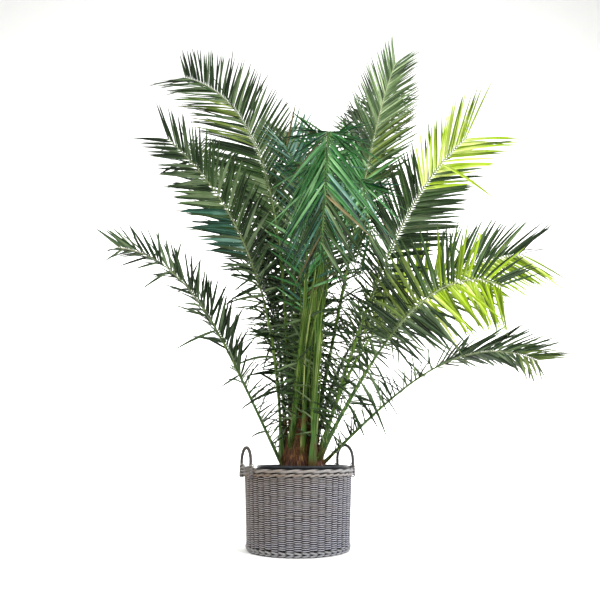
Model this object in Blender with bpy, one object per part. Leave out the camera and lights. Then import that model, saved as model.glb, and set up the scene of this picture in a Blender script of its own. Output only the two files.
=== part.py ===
# Potted canary island date palm in a round woven basket with two hoop handles.
# Metres, +Z up. The origin is the centre of the basket's flat underside.
import math

import bmesh
import bpy
from mathutils import Vector
from mathutils.bvhtree import BVHTree

# Gap between pieces that touch
GAP = 0.0003

# Basket
BASKET_HEIGHT = 0.311
BASKET_FOOT_RADIUS = 0.209
BASKET_TOP_RADIUS = 0.2245
BASKET_FOOT_ROUND = 0.013
BASKET_WALL = 0.010
BASKET_FLOOR = 0.012
RIM_RADIUS = 0.230
RIM_BAND = 0.020
BASKET_SIDES = 44

# Hoop handles: the left one is narrower and lower in the photo
HANDLE_TUBE = 0.0075
HANDLE_FOOT = 0.280
HANDLES = {
    "handle_left": dict(bearing=204.0, half_width=0.058, shoulder=0.338, top=0.392),
    "handle_right": dict(bearing=26.0, half_width=0.066, shoulder=0.348, top=0.405),
}
HANDLE_SIDES = 8
HANDLE_ARCH_STEPS = 14

# Inner nursery pot, set off centre in the basket, and the soil in it
POT_X = 0.018
POT_TOP_RADIUS = 0.190
POT_FOOT_RADIUS = 0.160
POT_TOP = 0.328
POT_WALL = 0.003
POT_SIDES = 36
SOIL_TOP = 0.306

# Trunk: height above the soil and radius there, from the flat cut to the tip
TRUNK_X = 0.020
TRUNK_PROFILE = ((0.000, 0.084), (0.030, 0.079), (0.065, 0.069), (0.100, 0.058),
                 (0.140, 0.047), (0.180, 0.039), (0.225, 0.034), (0.250, 0.031))
TRUNK_SIDES = 28

# Spear leaves that haven't opened: direction in the trunk's tip, lean, length
SPEARS = {
    "spear_front": dict(place=275, lean=7.0, heading=-8, length=0.86, width=0.050),
    "spear_left": dict(place=150, lean=2.0, heading=150, length=0.98, width=0.040),
    "spear_right": dict(place=35, lean=6.5, heading=12, length=1.06, width=0.044),
}
SPEAR_FOOT_OFFSET = 0.016
SPEAR_STEPS = 7
SPEAR_THICKNESS = 0.55

# Fronds. Angles are in degrees, lengths in metres.
#   at, up      where the foot sits: round the trunk, and above the soil
#   heading     the way it leans at its foot; sweep turns that toward the tip
#   lean, droop the angle from upright at the foot, and what is added by the tip
#   power       how late the droop comes
#   length      along the rib
#   roll, vee   how the blade turns about the rib, and its leaflets fold up
#   leaf        length of the longest leaflet
#   blade       where along the rib the leaflets start
#   spread, tip angle of the first and of the last leaflets to the rib
FRONDS = {
    "left_low": dict(at=190, up=0.016, heading=179.7, sweep=7.2, lean=26.5, droop=63.3, power=3.88,
                     length=1.29, roll=30, vee=24, leaf=0.21, blade=0.24, spread=55, tip=40),
    "left_outer": dict(at=166, up=0.039, heading=215.2, sweep=-20, lean=2.4, droop=50.3, power=1.51,
                       length=1.61, roll=-136, vee=7, leaf=0.26, blade=0.48, spread=59, tip=37),
    "left_top": dict(at=147, up=0.131, heading=146.6, sweep=9, lean=3.6, droop=59.5, power=2.63,
                     length=2.39, roll=-72, vee=20, leaf=0.36, blade=0.38, spread=56, tip=42),
    "right_top": dict(at=23, up=0.147, heading=17.9, sweep=22.4, lean=13.1, droop=11.9, power=4,
                      length=2.29, roll=62, vee=32, leaf=0.34, blade=0.44, spread=54, tip=22),
    "right_upper": dict(at=1, up=0.083, heading=-45.3, sweep=29.1, lean=23.5, droop=29.9, power=3.88,
                        length=1.5, roll=129, vee=20, leaf=0.25, blade=0.47, spread=65, tip=44),
    "right_mid": dict(at=29, up=0.047, heading=38.8, sweep=-60, lean=21.8, droop=72.5, power=1.71,
                      length=1.55, roll=-75, vee=15, leaf=0.36, blade=0.36, spread=60, tip=35),
    "right_front": dict(at=-39, up=0.038, heading=-42.1, sweep=55.9, lean=33.5, droop=88.1, power=4,
                        length=1.18, roll=-68, vee=7, leaf=0.29, blade=0.48, spread=89, tip=49),
    "right_low": dict(at=6, up=0.022, heading=12, sweep=-11.2, lean=47.9, droop=72.2, power=2.81,
                      length=1.2, roll=-25, vee=7, leaf=0.29, blade=0.56, spread=60, tip=40),
    "centre_left": dict(at=-134, up=0.118, heading=-39.2, sweep=-87.4, lean=12.1, droop=46, power=5,
                        length=1.27, roll=0, vee=35, leaf=0.24, blade=0.42, spread=50, tip=26),
    "centre_front": dict(at=-89, up=0.095, heading=-31, sweep=-90, lean=3, droop=420, power=3.78,
                         length=2.04, roll=0, vee=-30, leaf=0.27, blade=0.58, spread=48, tip=30),
    "front_left": dict(at=-65, up=0.027, heading=-34, sweep=-90, lean=3.3, droop=408.7, power=5,
                       length=1.75, roll=0, vee=-30, leaf=0.25, blade=0.62, spread=48, tip=32),
    "front_right": dict(at=-44, up=0.103, heading=-11, sweep=-81.3, lean=1, droop=388.6, power=4.58,
                        length=1.64, roll=0, vee=-30, leaf=0.24, blade=0.62, spread=48, tip=32),
    "back_left": dict(at=114, up=0.085, heading=116.8, sweep=27.3, lean=13.3, droop=37.7, power=1.3,
                      length=2.4, roll=-33, vee=10, leaf=0.42, blade=0.36, spread=60, tip=43),
    "back_right": dict(at=55, up=0.096, heading=48.6, sweep=-11, lean=6.5, droop=30.4, power=1.81,
                       length=2.3, roll=36, vee=-9, leaf=0.36, blade=0.32, spread=60, tip=42),
    "back_mid": dict(at=104, up=0.17, heading=88.3, sweep=16.1, lean=0.8, droop=40.3, power=1.1,
                     length=2.16, roll=-1, vee=14, leaf=0.4, blade=0.26, spread=60, tip=34),
    "back_low_left": dict(at=140, up=0.028, heading=114, sweep=9, lean=7.5, droop=60.5, power=1.85,
                          length=1.54, roll=5, vee=32, leaf=0.33, blade=0.42, spread=58, tip=37),
    "back_low": dict(at=96, up=0.026, heading=92, sweep=-1, lean=19.5, droop=61, power=1.7,
                     length=1.21, roll=-22, vee=12, leaf=0.38, blade=0.4, spread=60, tip=40),
    "back_low_right": dict(at=66, up=0.022, heading=50, sweep=4, lean=21, droop=77, power=1.4,
                           length=1.6, roll=42, vee=6, leaf=0.3, blade=0.4, spread=60, tip=30),
}
# How a frond's foot is seated against the trunk: its steps out, and how far up it is tested
SEAT_STEP = 0.0001
SEAT_SHARE = 0.2
SEAT_SAMPLES = 24
# A drooping rib never turns past this angle from upright: it hangs
HANG = 168.0
# A frond that bends more than this is two nodes, cut at the bend
SPLIT_BEND = 45.0
# Rib: width and depth at its foot, its waist and its tip
RIB_WIDTH = (0.036, 0.018, 0.004)
RIB_DEPTH = (0.016, 0.013, 0.004)
RIB_WAIST = 0.16
RIB_STEPS = 240
PETIOLE_RINGS = 6
# Most that the rib turns between two of its rings, in degrees
RING_BEND = 9.0
# Leaflets on each side
LEAFLETS = 17
LEAF_FOOT = 0.015
LEAF_THICKNESS = 0.0042
LEAF_WAIST = 0.36
LEAF_COVER = 0.74
LEAF_SAG = 0.25
LEAF_CLEAR = 0.0012
# Long spines below the leaflets, on each side
SPINES = 3
SPINE_START = 0.16
SPINE_LENGTH = (0.07, 0.19)
SPINE_WIDTH = 0.012


def clear_scene():
    for thing in list(bpy.data.objects):
        bpy.data.objects.remove(thing, do_unlink=True)


def hex_to_linear(code):
    parts = [int(code[i:i + 2], 16) / 255 for i in (0, 2, 4)]
    return [c / 12.92 if c <= 0.04045 else ((c + 0.055) / 1.055) ** 2.4 for c in parts] + [1.0]


def make_material(name, code, roughness, metallic=0.0):
    material = bpy.data.materials.new(name)
    material.use_nodes = True
    shader = material.node_tree.nodes["Principled BSDF"]
    shader.inputs["Base Color"].default_value = hex_to_linear(code)
    shader.inputs["Roughness"].default_value = roughness
    shader.inputs["Metallic"].default_value = metallic
    return material


def add_object(name, bm, material, smooth_angle=None):
    mesh = bpy.data.meshes.new(name)
    bmesh.ops.recalc_face_normals(bm, faces=bm.faces)
    bm.to_mesh(mesh)
    bm.free()
    mesh.materials.append(material)
    if smooth_angle is not None:
        mesh.shade_smooth()
        mesh.set_sharp_from_angle(angle=math.radians(smooth_angle))
    thing = bpy.data.objects.new(name, mesh)
    bpy.context.collection.objects.link(thing)
    return thing


def turned(profile, sides, centre=(0.0, 0.0)):
    # A closed profile of (radius, height) points turned about a vertical axis.
    # A point on the axis becomes one vertex.
    bm = bmesh.new()
    rings = []
    for radius, height in profile:
        if radius == 0.0:
            rings.append([bm.verts.new((centre[0], centre[1], height))])
            continue
        ring = []
        for i in range(sides):
            turn = 2 * math.pi * i / sides
            ring.append(bm.verts.new((centre[0] + radius * math.cos(turn),
                                      centre[1] + radius * math.sin(turn), height)))
        rings.append(ring)
    for low, high in zip(rings, rings[1:]):
        for i in range(sides):
            j = (i + 1) % sides
            if len(low) == 1:
                bm.faces.new((low[0], high[i], high[j]))
            elif len(high) == 1:
                bm.faces.new((low[i], low[j], high[0]))
            else:
                bm.faces.new((low[i], low[j], high[j], high[i]))
    return bm


def build_basket(material):
    # Flat underside, rounded foot, slightly flared wall, border band at the rim
    profile = [(0.0, 0.0)]
    foot = BASKET_FOOT_ROUND
    for step in range(4):
        turn = math.radians(30 * step)
        profile.append((BASKET_FOOT_RADIUS - foot + foot * math.sin(turn), foot - foot * math.cos(turn)))
    band = BASKET_HEIGHT - RIM_BAND
    inner_top = BASKET_TOP_RADIUS - BASKET_WALL
    inner_foot = BASKET_FOOT_RADIUS - BASKET_WALL
    profile += [
        (BASKET_TOP_RADIUS, band),
        (RIM_RADIUS, band + 0.004),
        (RIM_RADIUS, BASKET_HEIGHT - 0.004),
        (RIM_RADIUS - 0.004, BASKET_HEIGHT),
        (inner_top + 0.003, BASKET_HEIGHT),
        (inner_top, BASKET_HEIGHT - 0.004),
        (inner_foot, BASKET_FLOOR),
        (0.0, BASKET_FLOOR),
    ]
    return add_object("basket", turned(profile, BASKET_SIDES), material, 30)


def handle_route(half_width, shoulder, top):
    # Up one leg, over the arch and down the other, in the hoop's own plane:
    # along the rim, then upward
    route = [(-half_width, HANDLE_FOOT)]
    rise = top - shoulder
    for step in range(HANDLE_ARCH_STEPS + 1):
        turn = math.pi * step / HANDLE_ARCH_STEPS
        route.append((-half_width * math.cos(turn), shoulder + rise * math.sin(turn)))
    route.append((half_width, HANDLE_FOOT))
    return route


def build_handle(name, bearing, half_width, shoulder, top, material):
    # The legs lie against the rim band outside, so the hoop's plane sits a little inward
    reach = RIM_RADIUS + HANDLE_TUBE + GAP
    plane = math.sqrt(reach * reach - half_width * half_width)
    bearing = math.radians(bearing)
    out = Vector((math.cos(bearing), math.sin(bearing), 0.0))
    along = Vector((-math.sin(bearing), math.cos(bearing), 0.0))
    up = Vector((0.0, 0.0, 1.0))
    route = [out * plane + along * a + up * b for a, b in handle_route(half_width, shoulder, top)]
    bm = bmesh.new()
    rings = []
    for i, point in enumerate(route):
        before = route[max(i - 1, 0)]
        after = route[min(i + 1, len(route) - 1)]
        ahead = (after - before).normalized()
        across = ahead.cross(out)
        ring = []
        for k in range(HANDLE_SIDES):
            turn = 2 * math.pi * (k + 0.5) / HANDLE_SIDES
            ring.append(bm.verts.new(point + (across * math.cos(turn) + out * math.sin(turn)) * HANDLE_TUBE))
        rings.append(ring)
    for low, high in zip(rings, rings[1:]):
        for k in range(HANDLE_SIDES):
            j = (k + 1) % HANDLE_SIDES
            bm.faces.new((low[k], low[j], high[j], high[k]))
    bm.faces.new(rings[0][::-1])
    bm.faces.new(rings[-1])
    return add_object(name, bm, material, 50)


def pot_radius(height):
    foot = BASKET_FLOOR + GAP
    return POT_FOOT_RADIUS + (POT_TOP_RADIUS - POT_FOOT_RADIUS) * (height - foot) / (POT_TOP - foot)


def build_inner_pot(material):
    foot = BASKET_FLOOR + GAP
    profile = [
        (0.0, foot),
        (POT_FOOT_RADIUS, foot),
        (POT_TOP_RADIUS, POT_TOP),
        (POT_TOP_RADIUS - POT_WALL, POT_TOP),
        (POT_FOOT_RADIUS - POT_WALL, foot + POT_WALL),
        (0.0, foot + POT_WALL),
    ]
    return add_object("inner_pot", turned(profile, POT_SIDES, (POT_X, 0.0)), material, 30)


def build_soil(material):
    low = BASKET_FLOOR + GAP + POT_WALL + GAP
    inset = POT_WALL + 2 * GAP
    edge = SOIL_TOP - 0.006
    profile = [
        (0.0, low),
        (pot_radius(low) - inset, low),
        (pot_radius(edge) - inset, edge),
        (pot_radius(edge) - inset - 0.012, SOIL_TOP),
        (0.0, SOIL_TOP),
    ]
    return add_object("soil", turned(profile, POT_SIDES, (POT_X, 0.0)), material, 30)


def trunk_radius(height):
    for (low, wide), (high, slim) in zip(TRUNK_PROFILE, TRUNK_PROFILE[1:]):
        if height <= high:
            return wide + (slim - wide) * (height - low) / (high - low)
    return TRUNK_PROFILE[-1][1]


def build_trunk(material):
    base = SOIL_TOP + GAP
    profile = [(0.0, base)]
    profile += [(radius, base + height) for height, radius in TRUNK_PROFILE]
    profile.append((0.0, base + TRUNK_PROFILE[-1][0]))
    return add_object("trunk", turned(profile, TRUNK_SIDES, (TRUNK_X, 0.0)), material, 40)


def build_spear(name, place, lean, heading, length, width, material):
    # A folded leaf standing on the trunk's flat tip: a slim blade, six-sided
    # across, widest a third of the way up
    turn = math.radians(place)
    foot = Vector((TRUNK_X + SPEAR_FOOT_OFFSET * math.cos(turn), SPEAR_FOOT_OFFSET * math.sin(turn),
                   SOIL_TOP + TRUNK_PROFILE[-1][0] + 2 * GAP))
    way = math.radians(heading)
    tilt = math.radians(lean)
    ahead = Vector((math.sin(tilt) * math.cos(way), math.sin(tilt) * math.sin(way), math.cos(tilt)))
    bm = bmesh.new()
    rings = []
    for step in range(SPEAR_STEPS + 1):
        share = step / (SPEAR_STEPS + 1)
        swell = 0.48 + 0.52 * math.sin(math.pi * min(1.0, share / 0.66) / 2)
        half = 0.5 * width * swell * (1 - max(0.0, share - 0.3) ** 1.5 * 1.2)
        centre = foot + ahead * (length * share)
        ring = []
        for k in range(6):
            bend = math.pi * k / 3
            ring.append(bm.verts.new(centre + Vector((half * math.cos(bend),
                                                      half * SPEAR_THICKNESS * math.sin(bend), 0.0))))
        rings.append(ring)
    tip = bm.verts.new(foot + ahead * length)
    for low, high in zip(rings, rings[1:]):
        for k in range(6):
            bm.faces.new((low[k], low[(k + 1) % 6], high[(k + 1) % 6], high[k]))
    for k in range(6):
        bm.faces.new((rings[-1][k], rings[-1][(k + 1) % 6], tip))
    bm.faces.new(rings[0][::-1])
    return add_object(name, bm, material, 60)


def smooth(share):
    share = min(max(share, 0.0), 1.0)
    return share * share * (3 - 2 * share)


def rib_taper(values, share):
    foot, waist, tip = values
    if share < RIB_WAIST:
        return foot + (waist - foot) * smooth(share / RIB_WAIST)
    return waist + (tip - waist) * (share - RIB_WAIST) / (1 - RIB_WAIST)


class Rib:
    # The curve that a frond's rib follows, and the frame at any share of it

    def __init__(self, spec):
        self.spec = spec
        turn = math.radians(spec["at"])
        out = Vector((math.cos(turn), math.sin(turn), 0.0))
        reach = trunk_radius(spec["up"])
        point = Vector((TRUNK_X, 0.0, SOIL_TOP + spec["up"])) + out * reach
        self.points = [point.copy()]
        for step in range(RIB_STEPS):
            point = point + self.ahead((step + 0.5) / RIB_STEPS) * (spec["length"] / RIB_STEPS)
            self.points.append(point.copy())
        # Seated: moved straight out until its nearest place is just clear of the trunk
        while self.trunk_gap() < GAP:
            self.points = [point + out * SEAT_STEP for point in self.points]

    def trunk_gap(self):
        gaps = []
        for step in range(SEAT_SAMPLES):
            corners = rib_ring(self, SEAT_SHARE * step / SEAT_SAMPLES)
            for first, second in zip(corners, corners[1:] + corners[:1]):
                for place in (0.0, 0.25, 0.5, 0.75):
                    spot = first.lerp(second, place)
                    up = spot.z - SOIL_TOP - GAP
                    if up < TRUNK_PROFILE[-1][0]:
                        gaps.append(math.hypot(spot.x - TRUNK_X, spot.y) - trunk_radius(max(up, 0.0)))
        return min(gaps)

    def tilt(self, share):
        return min(self.spec["lean"] + self.spec["droop"] * share ** self.spec["power"], HANG)

    def ahead(self, share):
        tilt = math.radians(self.tilt(share))
        turn = math.radians(self.spec["heading"] + self.spec["sweep"] * share)
        return Vector((math.sin(tilt) * math.cos(turn), math.sin(tilt) * math.sin(turn), math.cos(tilt)))

    def frame(self, share):
        # Ahead along the rib, sideways across the blade, and out of its upper face
        tilt = math.radians(self.tilt(share))
        turn = math.radians(self.spec["heading"] + self.spec["sweep"] * share)
        ahead = self.ahead(share)
        level = Vector((-math.sin(turn), math.cos(turn), 0.0))
        upper = Vector((-math.cos(tilt) * math.cos(turn), -math.cos(tilt) * math.sin(turn), math.sin(tilt)))
        roll = math.radians(self.spec["roll"]) * smooth(share / 0.35)
        side = level * math.cos(roll) + upper * math.sin(roll)
        face = upper * math.cos(roll) - level * math.sin(roll)
        return ahead, side, face

    def point(self, share):
        place = min(max(share, 0.0), 1.0) * RIB_STEPS
        low = min(int(place), RIB_STEPS - 1)
        return self.points[low].lerp(self.points[low + 1], place - low)

    def bend(self):
        return self.tilt(1.0) - self.tilt(0.0)

    def split(self):
        # Share at which the rib has turned through half its bend
        half = self.tilt(0.0) + 0.5 * self.bend()
        share = 0.0
        while self.tilt(share) < half:
            share += 0.005
        return share


def leaf_scale(place):
    return (0.55 + 0.45 * smooth(place / 0.35)) * (1 - 0.3 * place ** 2.4)


def leaf_rows(spec):
    # Share along the rib, length, angle to the rib and width of each pair of blades
    rows = []
    for k in range(SPINES):
        place = (k + 0.5) / SPINES
        share = SPINE_START + (spec["blade"] - SPINE_START) * place
        length = SPINE_LENGTH[0] + (SPINE_LENGTH[1] - SPINE_LENGTH[0]) * place
        rows.append((share, length * spec["leaf"] / 0.38, 68.0, SPINE_WIDTH, 8.0 + 30.0 * (k % 2)))
    spacing = spec["length"] * (1 - spec["blade"]) / LEAFLETS
    for k in range(LEAFLETS):
        place = (k + 0.5) / LEAFLETS
        share = spec["blade"] + (0.99 - spec["blade"]) * place
        angle = spec["spread"] + (spec["tip"] - spec["spread"]) * place ** 1.4
        width = LEAF_COVER * spacing * math.sin(math.radians(angle))
        rows.append((share, spec["leaf"] * leaf_scale(place), angle, width, spec["vee"]))
    return rows


def rib_ring(rib, share):
    # Three corners: the two upper edges and the keel
    ahead, side, face = rib.frame(share)
    point = rib.point(share)
    half = 0.5 * rib_taper(RIB_WIDTH, share)
    depth = rib_taper(RIB_DEPTH, share)
    return [point + side * half + face * (0.45 * depth), point - side * half + face * (0.45 * depth),
            point - face * (0.55 * depth)]


def rib_solid(rib, start, end):
    # Closed faces of the bare rib, for testing what comes near it
    steps = 40
    corners = []
    for step in range(steps + 1):
        corners += rib_ring(rib, start + (end - start) * step / steps)
    faces = [(2, 1, 0), (3 * steps, 3 * steps + 1, 3 * steps + 2)]
    for step in range(steps):
        for k in range(3):
            j = (k + 1) % 3
            faces.append((3 * step + k, 3 * step + j, 3 * step + 3 + j, 3 * step + 3 + k))
    return corners, faces


def leaf_points(rib, row, hand, reach, fold, grow=0.0):
    # Waist corners and tip of one leaflet; grow thickens it for the clearance test
    share, length, angle, width, vee = row
    ahead, side, face = rib.frame(share)
    angle = math.radians(angle)
    lift = math.radians(vee + fold)
    way = ahead * math.cos(angle) + (side * (hand * math.cos(lift)) + face * math.sin(lift)) * math.sin(angle)
    span = length * reach
    across = (ahead - way * ahead.dot(way)).normalized()
    upper = way.cross(across)
    if upper.dot(face) < 0:
        upper = -upper
    foot = rib.point(share)
    waist = foot + way * (span * LEAF_WAIST)
    waist.z -= LEAF_SAG * (span * LEAF_WAIST) ** 2
    tip = foot + way * (span + grow)
    tip.z -= LEAF_SAG * span ** 2
    half = 0.5 * width + grow
    thick = 0.5 * max(LEAF_THICKNESS, span / 100) + grow
    corners = [waist - across * half + upper * thick, waist - across * half - upper * thick,
               waist + across * half - upper * thick, waist + across * half + upper * thick]
    return corners, tip


def ring_shares(rib, start, end):
    # Shares of the rings that a bend needs between two others
    count = math.ceil(abs(rib.tilt(end) - rib.tilt(start)) / RING_BEND)
    return [start + (end - start) * step / count for step in range(1, count)]


def leaf_loop(low, high, hand):
    # The four corners on the rib's side that a leaflet grows from
    upper = 0 if hand == 1 else 1
    return [low[upper], low[2], high[2], high[upper]]


def leaf_shell(rib, row, hand, reach, fold):
    # One leaflet as it is built, a little thicker and just off the rib
    share = row[0]
    half = 0.5 * LEAF_FOOT / rib.spec["length"]
    side = rib.frame(share)[1]
    base = leaf_loop(rib_ring(rib, share - half), rib_ring(rib, share + half), hand)
    base = [corner + side * (hand * LEAF_CLEAR) for corner in base]
    corners, tip = leaf_points(rib, row, hand, reach, fold, LEAF_CLEAR)
    points = base + corners + [tip]
    faces = [(3, 2, 1, 0)]
    for k in range(4):
        j = (k + 1) % 4
        faces.append((k, j, 4 + j, 4 + k))
        faces.append((4 + k, 4 + j, 8))
    return points, faces


def object_tree(thing):
    corners = [thing.matrix_world @ v.co for v in thing.data.vertices]
    return BVHTree.FromPolygons(corners, [tuple(p.vertices) for p in thing.data.polygons])


def choose_leaves(ribs, solids):
    # Give each leaflet the first fold and reach at which it touches nothing.
    # One that always touches is left out.
    fixed = [object_tree(thing) for thing in solids]
    stems = {name: BVHTree.FromPolygons(*rib_solid(rib, 0.0, 1.0)) for name, rib in ribs.items()}
    tries = [(reach, fold) for reach in (1.0, 0.82, 0.64, 0.48) for fold in (0, 14, -14, 28, -28, 42, -42)]
    chosen = {}
    crown = []
    for name, rib in ribs.items():
        others = fixed + [tree for other, tree in stems.items() if other != name] + crown
        own_points, own_faces = [], []
        own = None
        picks = {}
        for number, row in enumerate(leaf_rows(rib.spec)):
            for hand in (1, -1):
                for reach, fold in tries:
                    points, faces = leaf_shell(rib, row, hand, reach, fold)
                    shell = BVHTree.FromPolygons(points, faces)
                    if any(shell.overlap(tree) for tree in others):
                        continue
                    if own is not None and shell.overlap(own):
                        continue
                    picks[number, hand] = (reach, fold)
                    shift = len(own_points)
                    own_points += points
                    own_faces += [tuple(shift + i for i in face) for face in faces]
                    own = BVHTree.FromPolygons(own_points, own_faces)
                    break
        chosen[name] = picks
        if own is not None:
            crown.append(own)
    return chosen


def build_blade(name, rib, picks, start, end, material):
    # One frond, or one part of a split frond, between two shares of its rib
    rows = leaf_rows(rib.spec)
    half = 0.5 * LEAF_FOOT / rib.spec["length"]
    stations = [start]
    leaf_after = {}
    if start == 0.0:
        stations += [rows[0][0] * (k + 1) / PETIOLE_RINGS - half * 4 for k in range(PETIOLE_RINGS)]
    for number, row in enumerate(rows):
        if start + half < row[0] < end - half:
            stations += ring_shares(rib, stations[-1], row[0] - half)
            leaf_after[len(stations)] = number
            stations += [row[0] - half, row[0] + half]
    stations += ring_shares(rib, stations[-1], end) + [end]
    bm = bmesh.new()
    rings = [[bm.verts.new(corner) for corner in rib_ring(rib, share)] for share in stations]
    for i, (low, high) in enumerate(zip(rings, rings[1:])):
        bm.faces.new((low[0], low[1], high[1], high[0]))
        for hand in (1, -1):
            number = leaf_after.get(i)
            pick = picks.get((number, hand)) if number is not None else None
            loop = leaf_loop(low, high, hand)
            if pick is None:
                bm.faces.new(loop)
                continue
            corners, tip = leaf_points(rib, rows[number], hand, *pick)
            waist = [bm.verts.new(corner) for corner in corners]
            point = bm.verts.new(tip)
            for k in range(4):
                j = (k + 1) % 4
                bm.faces.new((loop[k], loop[j], waist[j], waist[k]))
                bm.faces.new((waist[k], waist[j], point))
    bm.faces.new(rings[0][::-1])
    bm.faces.new(rings[-1])
    return add_object(name, bm, material)


def build_frond(name, rib, picks, material):
    if rib.bend() <= SPLIT_BEND:
        return [build_blade("frond_" + name, rib, picks, 0.0, 1.0, material)]
    cut = rib.split()
    half = 0.5 * GAP / rib.spec["length"]
    rows = leaf_rows(rib.spec)
    middles = [0.5 * (a[0] + b[0]) for a, b in zip(rows, rows[1:])]
    cut = min(middles, key=lambda middle: abs(middle - cut))
    return [build_blade("frond_" + name, rib, picks, 0.0, cut - half, material),
            build_blade("frond_" + name + "_end", rib, picks, cut + half, 1.0, material)]


def main():
    clear_scene()
    wicker = make_material("weathered_rattan", "9A8F88", 0.75)
    wrapped = make_material("wrapped_rattan", "857A72", 0.7)
    plastic = make_material("black_pot_plastic", "23272C", 0.5)
    earth = make_material("potting_soil", "3A2C22", 0.95)
    fibre = make_material("palm_fibre", "7A5238", 0.9)
    green = make_material("palm_leaf", "3F7040", 0.5)
    fresh = make_material("fresh_palm_leaf", "6C9A45", 0.5)
    solids = [
        build_basket(wicker),
        build_inner_pot(plastic),
        build_soil(earth),
        build_trunk(fibre),
    ]
    for name, spec in HANDLES.items():
        solids.append(build_handle(name, material=wrapped, **spec))
    for name, spec in SPEARS.items():
        solids.append(build_spear(name, material=fresh, **spec))
    ribs = {name: Rib(spec) for name, spec in FRONDS.items()}
    chosen = choose_leaves(ribs, solids)
    for name, rib in ribs.items():
        build_frond(name, rib, chosen[name], green)


main()
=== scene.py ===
import functools
import math

import bmesh
import bpy
import numpy as np
from mathutils import Matrix, Vector


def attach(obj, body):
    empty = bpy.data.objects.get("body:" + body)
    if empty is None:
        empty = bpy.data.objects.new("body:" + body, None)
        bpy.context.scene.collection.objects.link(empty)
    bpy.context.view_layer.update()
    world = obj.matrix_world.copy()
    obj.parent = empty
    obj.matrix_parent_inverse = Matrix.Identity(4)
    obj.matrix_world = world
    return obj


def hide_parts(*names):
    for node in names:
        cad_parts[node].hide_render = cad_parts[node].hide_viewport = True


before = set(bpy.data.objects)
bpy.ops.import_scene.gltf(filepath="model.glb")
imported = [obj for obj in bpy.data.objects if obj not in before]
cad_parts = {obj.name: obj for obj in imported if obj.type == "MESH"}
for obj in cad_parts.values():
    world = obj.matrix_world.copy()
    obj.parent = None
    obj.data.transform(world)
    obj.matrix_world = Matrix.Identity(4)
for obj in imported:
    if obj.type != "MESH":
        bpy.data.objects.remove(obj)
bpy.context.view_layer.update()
print("frame loaded:", len(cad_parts), "nodes")

# Camera: low and close in front, looking up into the crown
cameraSetup = {"spot": (0.0075, -2.296, 0.367), "lookUp": 16.5, "lens": 31.2, "sensor": 36.0, "clipEnd": 60.0}
cameraData = bpy.data.cameras.new("camera")
cameraData.lens = cameraSetup["lens"]
cameraData.sensor_width = cameraSetup["sensor"]
cameraData.clip_end = cameraSetup["clipEnd"]
cameraObject = bpy.data.objects.new("camera", cameraData)
cameraObject.location = cameraSetup["spot"]
cameraObject.rotation_euler = (math.radians(90 + cameraSetup["lookUp"]), 0.0, 0.0)
bpy.context.collection.objects.link(cameraObject)
bpy.context.scene.camera = cameraObject
bpy.context.scene.view_settings.view_transform = "Standard"
print("camera placed")

randomDraws = np.random.default_rng(41)
uniform, normal = randomDraws.uniform, randomDraws.normal


# Colours and nodes

def hexColour(code):
    parts = [int(code[i:i + 2], 16) / 255 for i in (0, 2, 4)]
    return tuple(c / 12.92 if c <= 0.04045 else ((c + 0.055) / 1.055) ** 2.4 for c in parts) + (1.0,)


def addNode(material, kind, inputs=(), output=0, stops={}, **settings):
    # One node with its settings; an input takes a plain value or another node's output
    node = material.node_tree.nodes.new("ShaderNode" + kind)
    for name, value in settings.items():
        setattr(node, name, value)
    for key, value in (inputs.items() if isinstance(inputs, dict) else enumerate(inputs)):
        if isinstance(value, bpy.types.NodeSocket):
            material.node_tree.links.new(value, node.inputs[key])
        else:
            node.inputs[key].default_value = value
    for i, (place, code) in enumerate(stops.items()):
        element = node.color_ramp.elements[i] if i < 2 else node.color_ramp.elements.new(place)
        element.position, element.color = place, hexColour(code)
    return node.outputs[output]


def newMaterial(name, roughness, ior=1.5, specular=0.5):
    material = bpy.data.materials.new(name)
    material.use_nodes = True
    surface = material.node_tree.nodes["Principled BSDF"].inputs
    for socket, value in (("Roughness", roughness), ("IOR", ior), ("Specular IOR Level", specular)):
        surface[socket].default_value = value
    return material, functools.partial(addNode, material)


def weightedSum(add, total, *terms):
    for source, weight in terms:
        total = add("Math", (source, weight, total), operation="MULTIPLY_ADD")
    return total


def paintOver(add, body, mark, gain, shift, code, most=1.0):
    # One colour over the body, as much as a pattern says once it is scaled, shifted and limited
    cover = add("Math", (weightedSum(add, shift, (mark, gain)), most), operation="MINIMUM")
    return add("Mix", {0: cover, 6: body, 7: hexColour(code)}, 2, data_type="RGBA")


def finishMaterial(material, body, relief=None, strength=0.0, depth=0.0):
    surface = material.node_tree.nodes["Principled BSDF"].inputs
    material.node_tree.links.new(body, surface["Base Color"])
    if strength:
        bump = addNode(material, "Bump", {"Height": relief, "Strength": strength, "Distance": depth})
        material.node_tree.links.new(bump, surface["Normal"])
    return material


# Leaf lamina: a young date palm's leaflet, waxy with fine veins that run its length
leafTones = {  # dark, light, painted sheen, roughness
    "deep": ("081503", "253A1D", "6A7E5A", 0.50),
    "mid": ("0D2005", "355025", "7C9066", 0.48),
    "olive": ("1E280A", "4C6224", "8A9A50", 0.50),
    "pale": ("1F3412", "627C48", "A6B68C", 0.50),
    # blue: bluish green that stands for the sky's reflection on waxy leaflets, painted sheen
    "blue": ("0C2C1F", "33634E", "8FB6A6", 0.42),
    "fresh": ("082C07", "38763A", "86B67C", 0.45),
    # lime: yellow-green glow of leaflets lit from behind, painted light
    "lime": ("38520C", "9CBC14", "DFEA8C", 0.50),
    "dry": ("3A3420", "6C6240", "9A8E66", 0.60),
}
# Same order for these: dark, light, painted sheen, roughness
pressedTone = ("223C0E", "5C7C2C", "B0BE74", 0.50)
spineTone = ("0D190A", "2D4424", "7E8E66", 0.50)
spearTone = ("203C0E", "5E8030", "B0C278", 0.50)


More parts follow.
